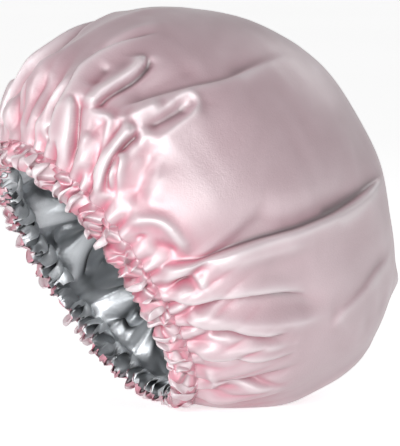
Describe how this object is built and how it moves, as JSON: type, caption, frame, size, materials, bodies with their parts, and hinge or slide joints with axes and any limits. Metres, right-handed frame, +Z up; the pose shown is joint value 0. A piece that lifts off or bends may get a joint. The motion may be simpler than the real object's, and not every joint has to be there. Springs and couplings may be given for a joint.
{
  "type": "hair bonnet",
  "caption": "Puffed two-layer satin hair bonnet with a gathered elastic casing and a drawn elastic loop.",
  "frame": {"origin": "centre of the pressed flat patch under the crown, on the surface that the bonnet lies on", "axes": "+Z up as worn and as pictured, the forehead edge and the mouth face -X, +Y is the ear side that carries the drawn loop"},
  "size_m": [0.2589, 0.2475, 0.2543],
  "materials": {
    "outer_satin": "pale pink polyester satin, glossy side out",
    "lining_satin": "silver grey polyester satin, glossy side inwards",
    "black_elastic": "ribbed knitted elastic, matt black"
  },
  "bodies": {
    "bonnet": {"outer_crown": "outer_satin", "outer_casing": "outer_satin", "lining_crown": "lining_satin", "lining_casing": "lining_satin", "casing_elastic": "black_elastic"},
    "keeper": {"loop_keeper": "black_elastic"},
    "loop": {"pull_loop": "black_elastic"}
  },
  "joints": [
    {"name": "loop_draw", "type": "slide", "parent": "bonnet", "child": "loop", "axis": [0.3823, 0.9118, -0.1499], "range_m": [0, 0.02], "stiffness_N_per_m": 100, "deforming": ["casing_elastic"]},
    {"name": "keeper_slide", "type": "slide", "parent": "bonnet", "child": "keeper", "axis": [0.3823, 0.9118, -0.1499], "range_m": [0, 0.003]}
  ]
}
